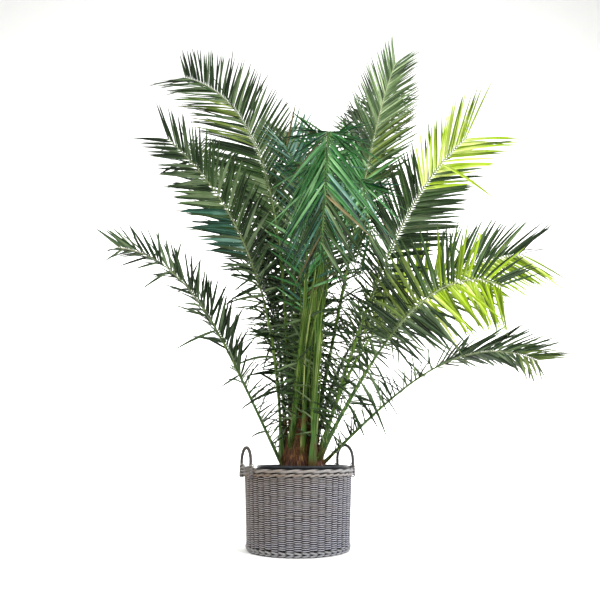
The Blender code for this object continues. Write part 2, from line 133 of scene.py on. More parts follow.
def leafMaterial(name, tone):
    dark, light, spot, roughness = tone
    material, add = newMaterial(name, roughness, 1.45, 0.20)
    acrossLeaf = add("SeparateXYZ", (add("UVMap", uv_map="blade"),))
    alongLeaf = acrossLeaf.node.outputs["Y"]
    lot = add("Attribute", output="Fac", attribute_name="lot")
    place = add("TexCoord", output="Object")
    cloud = add("TexNoise", {"Vector": place, "Scale": 7.0, "Detail": 3.0})  # patches of 140 mm
    shade = weightedSum(add, -0.20, (cloud, 0.9), (lot, 0.74), (alongLeaf, -0.26))
    # The third tone, at the top of the ramp, is painted sheen on the brightest leaflets
    body = add("ValToRGB", (shade,), stops={0.10: dark, 0.62: light, 0.98: spot})
    midrib = add("Math", (acrossLeaf, 0.5, 0.05), operation="COMPARE")
    turns = add("Math", (acrossLeaf, 88.0), operation="MULTIPLY")  # 14 veins a blade
    veins = add("Math", (turns,), operation="SINE")
    heel = add("Math", (0.035, alongLeaf), operation="GREATER_THAN")
    end = add("Math", (alongLeaf, 0.95), operation="GREATER_THAN")
    worn = add("Math", (lot, 0.55), operation="GREATER_THAN")
    wornTip = add("Math", (end, worn), operation="MULTIPLY")
    # The midrib is a real paler stripe, drawn in the sheen colour as a painted highlight
    for mark, gain, shift, code in ((midrib, 0.35, 0.0, spot), (veins, 0.05, 0.05, dark),
                                    (heel, 0.5, 0.0, "6F8250"), (wornTip, 0.7, 0.0, "8C7A4A")):
        body = paintOver(add, body, mark, gain, shift, code)
    return finishMaterial(material, body, veins, 0.25, 0.0003)


def stalkMaterial(name, stops, seam="1B3010", glow="8FA258"):
    # Rib of a frond: smooth green stalk that pales toward its tip, with dark and bright streaks along it
    material, add = newMaterial(name, 0.5, 1.45, 0.25)
    share = add("Attribute", output="Fac", attribute_name="share")
    place = add("TexCoord", output="Object")
    stretch = add("Mapping", {"Vector": place, "Scale": (140.0, 140.0, 9.0)})  # 7 mm streaks
    streak = add("TexNoise", {"Vector": stretch, "Scale": 1.0, "Detail": 3.0})
    cloud = add("TexNoise", {"Vector": place, "Scale": 12.0, "Detail": 2.0})
    body = add("ValToRGB", (weightedSum(add, -0.125, (share, 1.0), (cloud, 0.25)),), stops=stops)
    body = paintOver(add, body, streak, 5.0, -2.6, seam, 0.85)
    body = paintOver(add, body, streak, -6.0, 2.6, glow, 0.55)
    return finishMaterial(material, body, streak, 0.3, 0.0006)


def rattanMaterial(name, stops, grain=(60.0, 900.0, 1.0), skin="B6B2AE"):
    # Weathered rattan core: matt grey skin over straw, dark in its cracks, with painted shade where a strand dips
    # behind a stake
    material, add = newMaterial(name, 0.75, specular=0.25)
    stretch = add("Mapping", {"Vector": add("UVMap", uv_map="strand"), "Scale": grain})
    fibres = add("TexNoise", {"Vector": stretch, "Scale": 1.0, "Detail": 4.0, "Roughness": 0.6})
    place = add("TexCoord", output="Object")
    patch = add("TexNoise", {"Vector": place, "Scale": 6.0, "Detail": 2.0})  # patches of 160 mm
    sideways = add("SeparateXYZ", (place,))
    lot, inset = (add("Attribute", output="Fac", attribute_name=key) for key in ("lot", "inset"))
    # Cooler grey toward the +x side and toward the foot, warmer elsewhere
    warm = weightedSum(add, 0.07, (sideways, -1.1), (sideways.node.outputs["Z"], 1.1), (patch, 0.35), (lot, 0.30))
    body = add("ValToRGB", (warm,), stops=stops)
    # The inset mark lays near black over the body: painted shade in recesses
    for mark, gain, shift, code, most in ((fibres, -1.32, 0.75, "443D3A", 0.6), (fibres, 1.5, -0.85, skin, 0.6),
                                          (inset, 0.96, 0.0, "0B0A09", 1.0)):
        body = paintOver(add, body, mark, gain, shift, code, most)
    return finishMaterial(material, body, fibres, 0.5, 0.0006)


def cloudMaterial(name, stops, scale, roughness, strength=0.0, depth=0.001):
    # Colour and relief from one noise pattern, for soil, fibre and plastic
    material, add = newMaterial(name, roughness)
    place = add("TexCoord", output="Object")
    stretch = add("Mapping", {"Vector": place, "Scale": scale})
    cloud = add("TexNoise", {"Vector": stretch, "Scale": 1.0, "Detail": 6.0, "Roughness": 0.6})
    return finishMaterial(material, add("ValToRGB", (cloud,), stops=stops), cloud, strength, depth)


# Pieces from arrays and from bmesh

def finishPiece(name, mesh, material, nodes, sharp):
    mesh.shade_smooth()
    mesh.set_sharp_from_angle(angle=math.radians(sharp))
    mesh.materials.append(material)
    thing = bpy.data.objects.new(name, mesh)
    bpy.context.collection.objects.link(thing)
    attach(thing, "root")
    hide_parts(*nodes)


def bmeshPiece(name, bm, material, nodes, sharp):
    mesh = bpy.data.meshes.new(name)
    bmesh.ops.recalc_face_normals(bm, faces=bm.faces)
    bm.to_mesh(mesh)
    bm.free()
    finishPiece(name, mesh, material, nodes, sharp)


def takeArrays(bm, layer=None):
    # Corners and faces of a finished shape, and the mark of each corner
    bmesh.ops.recalc_face_normals(bm, faces=bm.faces)
    bm.verts.index_update()
    corners = np.array([tuple(v.co) for v in bm.verts])
    faces = [[v.index for v in f.verts] for f in bm.faces]
    marks = None if layer is None else np.array([v[layer] for v in bm.verts])
    bm.free()
    return corners, faces, marks


def tileFaces(faces, count, stride):
    # Faces of many copies of one shape, grouped by how many corners they have
    out = []
    for size in sorted({len(f) for f in faces}):
        block = np.array([f for f in faces if len(f) == size])
        out += (block[None] + (np.arange(count) * stride)[:, None, None]).reshape(-1, size).tolist()
    return out


def movedParts(grown, kind):
    return [part for part in grown["geom"] if isinstance(part, kind)]


def lathe(profile, steps):
    # A profile of radii and heights spun round the upright axis
    bm = bmesh.new()
    chain = [bm.verts.new((x, 0.0, z)) for x, z in profile]
    edges = [bm.edges.new(pair) for pair in zip(chain, chain[1:])]
    bmesh.ops.spin(bm, geom=chain + edges, cent=(0, 0, 0), axis=(0, 0, 1), angle=2 * math.pi, steps=steps,
                   use_merge=True)
    bmesh.ops.remove_doubles(bm, verts=bm.verts, dist=0.00005)
    return bm


def sweep(spots, ahead, side, face, wide, deep, sides, marks):
    # A closed ring extruded through a row of placements; each ring keeps its mark
    frames = np.tile(np.eye(4), (len(spots), 1, 1))
    frames[:, :3, 0] = side * np.reshape(wide, (-1, 1))
    frames[:, :3, 1] = face * np.reshape(deep, (-1, 1))
    frames[:, :3, 2], frames[:, :3, 3] = ahead, spots
    matrices = [Matrix(f.tolist()) for f in frames]
    bm = bmesh.new()
    layer = bm.verts.layers.float.new("share")
    ring = bmesh.ops.create_circle(bm, segments=sides, radius=1.0, cap_ends=False)["verts"]
    bmesh.ops.transform(bm, matrix=matrices[0], verts=ring)
    firstEdges = edges = list({e for v in ring for e in v.link_edges})
    for i, mark in enumerate(marks):
        if i:
            grown = bmesh.ops.extrude_edge_only(bm, edges=edges)
            ring = movedParts(grown, bmesh.types.BMVert)
            edges = [e for e in movedParts(grown, bmesh.types.BMEdge) if e.verts[0] in ring and e.verts[1] in ring]
            bmesh.ops.transform(bm, matrix=matrices[i] @ matrices[i - 1].inverted(), verts=ring)
        for vert in ring:
            vert[layer] = mark
    bmesh.ops.holes_fill(bm, edges=firstEdges + edges)
    return takeArrays(bm, layer)


class Pile:
    # Many swept or placed shapes gathered for one joined piece

    def __init__(self):
        self.corners, self.faces, self.floats, self.count = [], [], {}, 0

    def add(self, corners, faces, **floats):
        self.corners.append(corners)
        self.faces += [[self.count + i for i in f] for f in faces]
        self.count += len(corners)
        for key, values in floats.items():
            self.floats.setdefault(key, []).append(np.broadcast_to(values, len(corners)))

    def piece(self, name, material, nodes, slot, sharp, uvName=None):
        mesh = bpy.data.meshes.new(name)
        mesh.from_pydata(np.concatenate(self.corners).tolist(), [], self.faces)
        floats = {key: np.concatenate(values).astype(np.float32) for key, values in self.floats.items()}
        if uvName:
            order = np.empty(len(mesh.loops), np.int32)
            mesh.loops.foreach_get("vertex_index", order)
            uv = np.stack([floats.pop("uvX"), floats.pop("uvY")], axis=1)[order]
            mesh.uv_layers.new(name=uvName).data.foreach_set("uv", uv.ravel())
        for key, values in floats.items():
            mesh.attributes.new(key, "FLOAT", "POINT").data.foreach_set("value", values)
        finishPiece(name, mesh, material, nodes, sharp)


# Directions and easing
upright = np.array([0.0, 0.0, 1.0])


def directions(turn):
    # Outward and level, at a turn round the upright axis
    turn = np.asarray(turn, float)
    return (np.stack([np.cos(turn), np.sin(turn), 0 * turn], -1),
            np.stack([-np.sin(turn), np.cos(turn), 0 * turn], -1))


def unit(vectors):
    return vectors / np.linalg.norm(vectors, axis=-1, keepdims=True)


def smoothStep(share):
    share = np.clip(share, 0.0, 1.0)
    return share * share * (3 - 2 * share)


def between(ends, share):
    return ends[0] + (ends[1] - ends[0]) * share


# Fronds, by the same rule as the solids: the rib's curve, its frame and its rows of leaflets
palm = {
    "soilTop": 0.306, "trunkX": 0.020, "gap": 0.0003, "hang": 168.0, "steps": 240,
    "trunkProfile": ((0.000, 0.084), (0.030, 0.079), (0.065, 0.069), (0.100, 0.058),
                     (0.140, 0.047), (0.180, 0.039), (0.225, 0.034), (0.250, 0.031)),
    "ribWidth": (0.036, 0.018, 0.004), "ribDepth": (0.016, 0.013, 0.004), "ribWaist": 0.16,
    "ribAbove": 0.45, "ribBelow": 0.55, "rollEnd": 0.35, "seatShare": 0.2, "seatSpots": 24, "seatStep": 0.0001,
    "bladeFoot": 0.42,
}
trunkTop = palm["trunkProfile"][-1][0]
# Foot: turn and height on the trunk. Rib: degrees and metres. Blade: leaflet length, where it starts, degrees to the
# rib at its foot and tip, unrest, spacing, leaflet width
frondShape = ("at", "up", "heading", "sweep", "lean", "droop", "power", "length", "roll", "vee", "leaf", "blade",
              "spread", "tip", "loose", "spacing", "width")
frondUsual = {"bare": 0.0, "hanging": 11, "short": 1.0, "reach": 0.0, "stalk": "plain", "flare": 0.35, "stray": None}


def frond(tones, *shape, under=None, **own):
    # Tones go from the foot of the blade to its tip, on one hand and on the other
    spec = {**frondUsual, **dict(zip(frondShape, shape)), **own}
    return {"veeFoot": spec["vee"], **spec, "tones": tones.split(), "underTones": (under or tones).split()}


# Young fronds: odd leaflets take the blue tone, which is painted sheen
young = {"stray": "blue", "stalk": "centre"}
fronds = {
    "left_low": frond("deep", 190, 0.016, 179.7, 7.2, 26.5, 63.3, 3.88, 1.29, 30, 24, 0.21, 0.24, 52, 36, 3.0, 0.011,
        0.016, bare=0.32, hanging=3),
    "left_outer": frond("deep blue mid deep deep", 166, 0.039, 215.2, -20, 2.4, 50.3, 1.51, 1.61, -136, 7, 0.26, 0.48,
        59, 37, 1.2, 0.0165, 0.019, under="deep mid deep", stalk="bright"),
    "left_top": frond("mid mid deep olive mid deep", 147, 0.131, 146.6, 9, 3.6, 59.5, 2.63, 2.39, -72, 20, 0.36, 0.38,
        56, 42, 1.0, 0.015, 0.0205, under="mid mid mid deep deep", stalk="bright"),
    "right_top": frond("fresh fresh mid mid pale mid", 23, 0.147, 17.9, 22.4, 13.1, 11.9, 4, 2.29, 62, 24, 0.34, 0.44,
        50, 24, 0.45, 0.015, 0.0175, under="fresh mid olive mid pale mid", stalk="bright"),
    "right_upper": frond("deep deep deep mid lime lime", 1, 0.083, -45.3, 29.1, 23.5, 29.9, 3.88, 1.5, 129, 20, 0.25,
        0.47, 65, 36, 1.0, 0.0125, 0.0175, stalk="bright", reach=0.42),
    "right_mid": frond("deep olive lime lime", 29, 0.047, 38.8, -60, 21.8, 72.5, 1.71, 1.55, -75, 15, 0.36, 0.36, 60,
        35, 1.5, 0.0125, 0.017, under="olive olive lime mid deep", stalk="bright"),
    "right_front": frond("deep deep lime lime lime", -39, 0.038, -42.1, 55.9, 33.5, 88.1, 4, 1.18, -68, 7, 0.29, 0.48,
        89, 49, 1.5, 0.0125, 0.018, under="deep olive mid lime mid"),
    "right_low": frond("deep deep deep deep mid olive", 6, 0.022, 12, -11.2, 47.9, 72.2, 2.81, 1.2, -25, 7, 0.29,
        0.56, 34, 48, 1.8, 0.0095, 0.017, hanging=3, short=0.8),
    "centre_left": frond("fresh fresh mid blue", -134, 0.118, -39.2, -87.4, 12.1, 46, 5, 1.27, 0, 35, 0.27, 0.42, 50,
        40, 2.4, 0.014, 0.015, **young),
    "centre_front": frond("fresh fresh fresh mid", -89, 0.095, -31, -90, 3, 420, 3.78, 2.04, 0, -30, 0.27, 0.58, 48,
        30, 2.0, 0.014, 0.015, veeFoot=18, **young),
    "front_left": frond("fresh fresh mid", -65, 0.027, -34, -90, 3.3, 408.7, 5, 1.75, 0, -30, 0.25, 0.62, 48, 32, 2.4,
        0.014, 0.015, veeFoot=10, flare=0.85, **young),
    "front_right": frond("fresh fresh mid", -44, 0.103, -11, -81.3, 1, 388.6, 4.58, 1.64, 0, -30, 0.24, 0.62, 48, 32,
        2.4, 0.014, 0.015, veeFoot=10, **young),
    "back_left": frond("deep mid", 114, 0.085, 116.8, 27.3, 13.3, 37.7, 1.3, 2.4, -33, 10, 0.42, 0.36, 60, 43, 1.5,
        0.015, 0.022),
    "back_right": frond("mid", 55, 0.096, 48.6, -11, 6.5, 30.4, 1.81, 2.3, 36, -9, 0.36, 0.32, 60, 42, 1.5, 0.016,
        0.022),
    "back_mid": frond("deep mid", 104, 0.17, 88.3, 16.1, 0.8, 40.3, 1.1, 2.16, -1, 14, 0.4, 0.26, 60, 34, 1.6, 0.015,
        0.022),
    "back_low_left": frond("deep", 140, 0.028, 114, 9, 7.5, 60.5, 1.85, 1.54, 5, 32, 0.33, 0.42, 58, 37, 2.2, 0.014,
        0.022),
    "back_low": frond("deep mid", 96, 0.026, 92, -1, 19.5, 61, 1.7, 1.21, -22, 12, 0.38, 0.4, 60, 40, 2.2, 0.014,
        0.022),
    "back_low_right": frond("mid", 66, 0.022, 50, 4, 21, 77, 1.4, 1.6, 42, 6, 0.3, 0.4, 60, 30, 2.2, 0.015, 0.022),
}
frondNodes = [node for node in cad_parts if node.startswith("frond_")]


def ribTaper(values, share):
    foot, waist, tip = values
    bend = palm["ribWaist"]
    low = foot + (waist - foot) * smoothStep(share / bend)
    high = waist + (tip - waist) * (share - bend) / (1 - bend)
    return np.where(share < bend, low, high)


def ribFrame(spec, share):
    # Ahead along the rib, sideways across the blade, and out of its upper face
    tilt = np.radians(np.minimum(spec["lean"] + spec["droop"] * share ** spec["power"], palm["hang"]))
    turn = np.radians(spec["heading"] + spec["sweep"] * share)
    ahead = np.stack([np.sin(tilt) * np.cos(turn), np.sin(tilt) * np.sin(turn), np.cos(tilt)], -1)
    level = directions(turn)[1]
    upper = np.stack([-np.cos(tilt) * np.cos(turn), -np.cos(tilt) * np.sin(turn), np.sin(tilt)], -1)
    roll = (np.radians(spec["roll"]) * smoothStep(share / palm["rollEnd"]))[..., None]
    return ahead, level * np.cos(roll) + upper * np.sin(roll), upper * np.cos(roll) - level * np.sin(roll)


def trunkRadius(height):
    return np.interp(height, *zip(*palm["trunkProfile"]))


def ribPoint(points, share):
    place = np.clip(share, 0.0, 1.0) * palm["steps"]
    return np.stack([np.interp(place, np.arange(len(points)), points[:, k]) for k in range(3)], -1)


def ribCurve(spec):
    steps = palm["steps"]
    out = directions(math.radians(spec["at"]))[0]
    foot = np.array([palm["trunkX"], 0.0, palm["soilTop"] + spec["up"]]) + out * trunkRadius(spec["up"])
    ahead = ribFrame(spec, (np.arange(steps) + 0.5) / steps)[0]
    points = np.vstack([foot, foot + np.cumsum(ahead * spec["length"] / steps, axis=0)])
    # Seated: moved straight out until its nearest place is clear of the trunk
    share = palm["seatShare"] * np.arange(palm["seatSpots"]) / palm["seatSpots"]
    spots = ribPoint(points, share)
    ahead, side, face = ribFrame(spec, share)
    half = 0.5 * ribTaper(palm["ribWidth"], share)[:, None]
    deep = ribTaper(palm["ribDepth"], share)[:, None]
    above = spots + face * palm["ribAbove"] * deep
    rim = [above + side * half, above - side * half, spots - face * palm["ribBelow"] * deep]
    ring = np.concatenate([between(pair, f) for pair in zip(rim, rim[1:] + rim[:1]) for f in (0, 0.25, 0.5, 0.75)])
    up = ring[:, 2] - palm["soilTop"] - palm["gap"]
    beside = up < trunkTop
    ring, radius = ring[beside], trunkRadius(np.maximum(up[beside], 0.0))
    moved = 0.0
    while (np.hypot(ring[:, 0] + out[0] * moved - palm["trunkX"], ring[:, 1] + out[1] * moved)
           - radius).min() < palm["gap"]:
        moved += palm["seatStep"]
    return points + out * moved


def placeBlades(spec, points, hand, share, length, angle, lift):
    # Foot and frame of each blade on one side of the rib
    ahead, side, face = ribFrame(spec, share)
    angle, lift = np.radians(angle)[:, None], np.radians(lift)[:, None]
    way = ahead * np.cos(angle) + (side * hand * np.cos(lift) + face * np.sin(lift)) * np.sin(angle)
    across = unit(ahead - way * (ahead * way).sum(1)[:, None])
    upper = np.cross(way, across)
    flip = np.where((upper * face).sum(1) < 0, -1.0, 1.0)[:, None]
    foot = ribPoint(points, share) + side * hand * palm["bladeFoot"] * ribTaper(palm["ribWidth"], share)[:, None]
    return {"foot": foot, "way": way, "across": across * flip, "upper": upper * flip, "length": length}


def outwardBlades(foot, way, outward, length):
    # Blades whose upper face looks outward
    way = unit(way)
    across = unit(np.cross(outward, way))
    return {"foot": foot, "way": way, "across": across, "upper": np.cross(way, across), "length": length}


def bladeShape(stations, width, fold, thickness):
    # A four-sided strip, extruded station by station and drawn to a point
    bm = bmesh.new()
    ring = bmesh.ops.create_circle(bm, segments=4, radius=1.0, cap_ends=True)["verts"]
    bmesh.ops.rotate(bm, verts=ring, cent=(0, 0, 0), matrix=Matrix.Rotation(math.pi / 2, 3, "Y"))
    bmesh.ops.translate(bm, verts=ring, vec=(stations[0], 0, 0))
    cap = list(bm.faces)
    for before, after in zip(stations, stations[1:] + (1.0,)):
        grown = bmesh.ops.extrude_face_region(bm, geom=cap)
        bmesh.ops.delete(bm, geom=cap, context="FACES")
        ring, cap = movedParts(grown, bmesh.types.BMVert), movedParts(grown, bmesh.types.BMFace)
        bmesh.ops.translate(bm, verts=ring, vec=(after - before, 0, 0))
    bmesh.ops.pointmerge(bm, verts=ring, merge_co=(1.0, 0.0, 0.0))
    bmesh.ops.holes_fill(bm, edges=[e for e in bm.edges if e.is_boundary])
    corners, faces, _ = takeArrays(bm)
    along = corners[:, 0]
    return {"along": along, "edge": np.round(corners[:, 1]), "keel": np.round(corners[:, 2]), "faces": faces,
            "half": 0.5 * np.interp(along, stations + (1.0,), width + (0.0,)),
            "fold": np.radians(np.interp(along, stations + (1.0,), fold + (8.0,))),
            "thin": thickness * (1 - 0.7 * along)}


leaflet = bladeShape(stations=(0.0, 0.03, 0.10, 0.24, 0.42, 0.60, 0.77, 0.91),
                     width=(0.58, 0.68, 0.88, 1.0, 0.94, 0.78, 0.54, 0.26),
                     fold=(48.0, 42.0, 34.0, 26.0, 22.0, 18.0, 14.0, 10.0), thickness=0.0007)
spineShape = bladeShape(stations=(0.0, 0.10, 0.45, 0.80), width=(0.9, 1.0, 0.85, 0.5), fold=(40.0, 34.0, 30.0, 25.0),
                        thickness=0.0009)
spearShape = bladeShape(stations=(0.0, 0.06, 0.16, 0.34, 0.55, 0.74, 0.90),
                        width=(0.7, 0.85, 1.0, 1.0, 0.85, 0.6, 0.3),
                        fold=(50.0, 48.0, 45.0, 42.0, 40.0, 38.0, 34.0), thickness=0.0009)


def growBlades(pile, shape, blades, width, sag=0.0, twist=0.0, lots=None):
    count, stride = len(blades["foot"]), len(shape["along"])
    if lots is None:
        lots = uniform(0.0, 1.0, count)
    width, sag, twist = (np.broadcast_to(values, count)[:, None] for values in (width, sag, twist))
    turn = (np.radians(twist) * shape["along"])[..., None]
    reach = blades["length"][:, None] * shape["along"]
    wide = width * shape["edge"] * shape["half"] * np.cos(shape["fold"])
    rise = width * np.abs(shape["edge"]) * shape["half"] * np.sin(shape["fold"]) + shape["keel"] * shape["thin"]
    across, upper = blades["across"][:, None], blades["upper"][:, None]
    spots = blades["foot"][:, None] + blades["way"][:, None] * reach[..., None]
    spots = spots + (across * np.cos(turn) + upper * np.sin(turn)) * wide[..., None]
    spots = spots + (upper * np.cos(turn) - across * np.sin(turn)) * rise[..., None]
    spots[..., 2] -= sag * reach ** 2
    pile.add(spots.reshape(-1, 3), tileFaces(shape["faces"], count, stride), lot=np.repeat(lots, stride),
             uvX=np.tile(0.5 + 0.5 * shape["edge"], count), uvY=np.tile(shape["along"], count))


def growRow(pile, shape, side, share, length, angle, lift, width, *rest):
    growBlades(pile, shape, placeBlades(*side, share, length, angle, lift), width, *rest)


growth = {
    "last": 0.992, "handShift": 0.25, "endGap": 0.3, "footEnd": 0.3, "footUnrest": 1.5, "turnPower": 1.4,
    "veeEnd": 0.45, "angle": 2.6, "lift": 5.0, "strayShare": 0.05, "strayAngle": 22.0, "strayLift": 36.0,
    "straySag": 2.4, "footLength": 0.55, "fullLength": 0.35, "tipLoss": 0.3, "tipPower": 2.4, "uneven": 0.05,
    "reachFrom": 0.6, "footWidth": 0.60, "tipThin": 0.35, "twist": 16.0, "sag": (0.15, 0.425), "toneBlur": 0.07,
    "oddBelow": 0.22, "dryAbove": 0.98,
}
spines = {"start": 0.05, "spacing": 0.023, "length": (0.10, 0.18), "lengthPower": 0.7, "uneven": (0.55, 1.2),
          "width": 0.0086, "angle": (72.0, 13.0), "plane": 58.0, "fan": 26.0, "unrest": 12.0, "sag": (0.0, 2.5),
          "jitter": (0.2, 0.8), "widths": (0.7, 1.3)}
hanging = {"share": (0.32, 1.1), "length": (0.10, 0.21), "width": 0.013, "angle": (85.0, 25.0),
           "plane": (-30.0, 90.0), "sag": (0.3, 2.4), "twist": 40.0, "widths": (0.7, 1.2)}
pressed = {"count": 22, "start": 0.05, "end": 0.85, "length": (0.20, 0.46), "width": 0.0105, "angle": 4.5,
           "angles": (0.3, 1.8), "plane": (-90.0, 60.0), "twist": 40.0, "widths": (0.6, 1.2)}
stalkStops = {  # brown at the foot, green below the leaflets, straw toward the tip
    "plain": {0.0: "4A4420", 0.04: "2A4416", 0.25: "32501E", 0.5: "465A30", 0.75: "8A9270", 1.0: "A4A484"},
    "bright": {0.0: "50401E", 0.045: "466824", 0.25: "64862E", 0.45: "5A7238", 0.7: "8A9270", 1.0: "A4A484"},
    "centre": {0.0: "50401E", 0.045: "3A5A20", 0.4: "4E702A", 0.75: "3C6A2C", 1.0: "3E7036"},
}
sheathStops = {0.0: "3A4A1E", 0.3: "4A3F1E", 0.6: "4A2C18", 0.8: "3E2012", 1.0: "20120B"}
rib = {"dive": ((0.048, 0.024), (0.030, 0.011), (0.013, 0.003)), "footRings": 14, "rings": 46, "sides": 8,
       "flareEnd": 0.08, "slim": 0.28, "slimFrom": 0.25, "slimOver": 0.25}
sheath = {"drop": 0.12, "rise": 0.025, "wide": (0.028, 0.060), "widePower": 0.8, "deep": (0.012, 0.017),
          "below": -0.006, "clear": 0.001, "clasp": 1.2, "rows": 9, "sides": 12}
leafPiles = {tone: Pile() for tone in leafTones}
stalkPiles = {kind: Pile() for kind in stalkStops}
spinePile, pressedPile, sheathPile = Pile(), Pile(), Pile()


def growLeaflets(side):
    spec, _, hand = side
    pairs = int(round(spec["length"] * (1 - spec["blade"]) / spec["spacing"]))
    place = (np.arange(pairs) + 0.5 + growth["handShift"] * (hand > 0)) / (pairs + growth["endGap"])
    share = between((spec["blade"], growth["last"]), place)
    grown = smoothStep(place / growth["footEnd"])
    stray = uniform(0.0, 1.0, pairs) < growth["strayShare"] * spec["loose"]
    unrest = spec["loose"] * (1 + growth["footUnrest"] * (1 - grown))
    angle = between((spec["spread"], spec["tip"]), place ** growth["turnPower"])
    angle = angle + normal(0.0, 1.0, pairs) * (growth["angle"] * unrest + growth["strayAngle"] * stray)
    lift = between((spec["veeFoot"], spec["vee"]), smoothStep(place / growth["veeEnd"]))
    lift = lift + normal(0.0, 1.0, pairs) * (growth["lift"] * unrest + growth["strayLift"] * stray)
    length = between((growth["footLength"], 1.0), smoothStep(place / growth["fullLength"]))
    length = length * (1 - growth["tipLoss"] * place ** growth["tipPower"]) * spec["leaf"] * spec["short"]
    length = length * normal(1.0, growth["uneven"], pairs)
    length *= 1 + spec["reach"] * smoothStep((place - growth["reachFrom"]) / (1 - growth["reachFrom"]))
    width = spec["width"] * between((growth["footWidth"], 1.0), grown) * (1 - growth["tipThin"] * place ** 3)
    twist = normal(0.0, growth["twist"], pairs)
    sag = uniform(*growth["sag"], pairs) * np.where(stray, growth["straySag"], 1.0)
    lots = uniform(0.0, 1.0, pairs)
    # Tones in bands from the foot of the blade to its tip, with loose edges
    bands = spec["tones"] if hand > 0 else spec["underTones"]
    band = (place + normal(0.0, growth["toneBlur"], pairs)) * len(bands)
    tone = np.array(bands)[np.clip(band, 0, len(bands) - 0.01).astype(int)]
    # Odd leaflets in the stray tone (on young fronds the blue tone, painted sheen) and a few dry ones
    if spec["stray"]:
        odd = uniform(0.0, 1.0, pairs)
        tone = np.where(odd < growth["oddBelow"], spec["stray"], np.where(odd > growth["dryAbove"], "dry", tone))
    for kind in sorted(set(tone)):
        pick = (tone == kind) & (share > spec["bare"])
        if pick.any():
            growRow(leafPiles[kind], leaflet, side, share[pick], length[pick], angle[pick], lift[pick], width[pick],
                    sag[pick], twist[pick], lots[pick])
    return int((share > spec["bare"]).sum())


def growPetiole(side):
    spec, _, hand = side
    # Long spines below the leaflets, in uneven planes
    end = max(spec["blade"], spec["bare"])
    count = int(spec["length"] * (end - spines["start"]) / spines["spacing"])
    place = (np.arange(count) + uniform(*spines["jitter"], count)) / count
    length = between(spines["length"], place ** spines["lengthPower"]) * uniform(*spines["uneven"], count)
    plane = spines["plane"] + spines["fan"] * (np.arange(count) % 3 - 1) + normal(0.0, spines["unrest"], count)
    growRow(spinePile, spineShape, side, between((spines["start"], end), place), length,
            normal(*spines["angle"], count), plane, spines["width"] * uniform(*spines["widths"], count),
            uniform(*spines["sag"], count))
    # Old narrow leaflets that hang among the petioles
    count = spec["hanging"]
    growRow(leafPiles["deep" if hand > 0 else "mid"], leaflet, side, end * uniform(*hanging["share"], count),
            uniform(*hanging["length"], count), normal(*hanging["angle"], count), uniform(*hanging["plane"], count),
            hanging["width"] * uniform(*hanging["widths"], count), uniform(*hanging["sag"], count),
            normal(0.0, hanging["twist"], count))
    if spec["stray"]:
        # Young leaflets still pressed to their stalk
        count = pressed["count"]
        growRow(pressedPile, spearShape, side, np.linspace(pressed["start"], pressed["end"] * end, count),
                uniform(*pressed["length"], count), pressed["angle"] * uniform(*pressed["angles"], count),
                uniform(*pressed["plane"], count), pressed["width"] * uniform(*pressed["widths"], count), 0.0,
                normal(0.0, pressed["twist"], count))


def growRib(spec, points):
    # Oval in section, wide and clasping at its foot, which starts inside the trunk
    out, level = directions(math.radians(spec["at"]))
    marks = np.concatenate([np.zeros(len(rib["dive"])), np.linspace(0.0, palm["ribWaist"], rib["footRings"]),
                            np.linspace(palm["ribWaist"], 1.0, rib["rings"])[1:]])
    ahead, side, face = ribFrame(spec, marks)
    spots = ribPoint(points, marks)
    for i, (back, inward) in enumerate(rib["dive"]):
        spots[i] -= ahead[i] * back + out * inward
    flare = 1.0 + spec["flare"] * (1 - smoothStep(marks / rib["flareEnd"]))
    flare = flare - rib["slim"] * smoothStep((marks - rib["slimFrom"]) / rib["slimOver"])
    corners, faces, shares = sweep(spots, ahead, side, face, 0.5 * ribTaper(palm["ribWidth"], marks) * flare,
                                   0.5 * ribTaper(palm["ribDepth"], marks), rib["sides"], marks)
    stalkPiles[spec["stalk"]].add(corners, faces, share=shares)
    # Its sheath clasps the trunk down to the soil
    marks, row = np.linspace(0.0, 1.0, sheath["rows"]), np.arange(sheath["rows"])
    heights = between((spec["up"] + sheath["rise"], max(spec["up"] - sheath["drop"], sheath["below"])), marks)
    radius = trunkRadius(np.maximum(heights, 0.0))
    spots = np.outer(radius + sheath["clear"], out) + np.outer(palm["soilTop"] + heights, upright)
    spots[:, 0] += palm["trunkX"]
    ahead = unit(spots[np.minimum(row + 1, row[-1])] - spots[np.maximum(row - 1, 0)])
    wide = np.minimum(between(sheath["wide"], marks ** sheath["widePower"]), sheath["clasp"] * radius)
    corners, faces, shares = sweep(spots, ahead, level, np.cross(ahead, level), 0.5 * wide,
                                   0.5 * between(sheath["deep"], marks), sheath["sides"], marks)
    sheathPile.add(corners, faces, share=shares)


leafletCount = 0
for spec in fronds.values():
    points = ribCurve(spec)
    for hand in (1.0, -1.0):
        leafletCount += growLeaflets((spec, points, hand))
        growPetiole((spec, points, hand))
    growRib(spec, points)
print("fronds grown:", len(fronds), "with", leafletCount, "leaflets")

leafPieces = [("leaflets_" + tone, pile, "palm_leaflet_" + tone, leafTones[tone]) for tone, pile in leafPiles.items()]
leafPieces += [("pressed_leaflets", pressedPile, "young_palm_leaflet", pressedTone),
               ("petiole_spines", spinePile, "palm_spine_green", spineTone)]
for name, pile, finish, tone in leafPieces:
    pile.piece(name, leafMaterial(finish, tone), frondNodes, "palm_leaf", 28, "blade")
for kind, pile in stalkPiles.items():
    pile.piece("frond_ribs_" + kind, stalkMaterial("palm_rib_" + kind, stalkStops[kind]), frondNodes, "palm_leaf", 40)
sheathPile.piece("petiole_sheaths", stalkMaterial("palm_leaf_sheath", sheathStops, "1A0E07", "7A5230"), frondNodes,
                 "palm_leaf", 40)
print("leaf pieces joined")

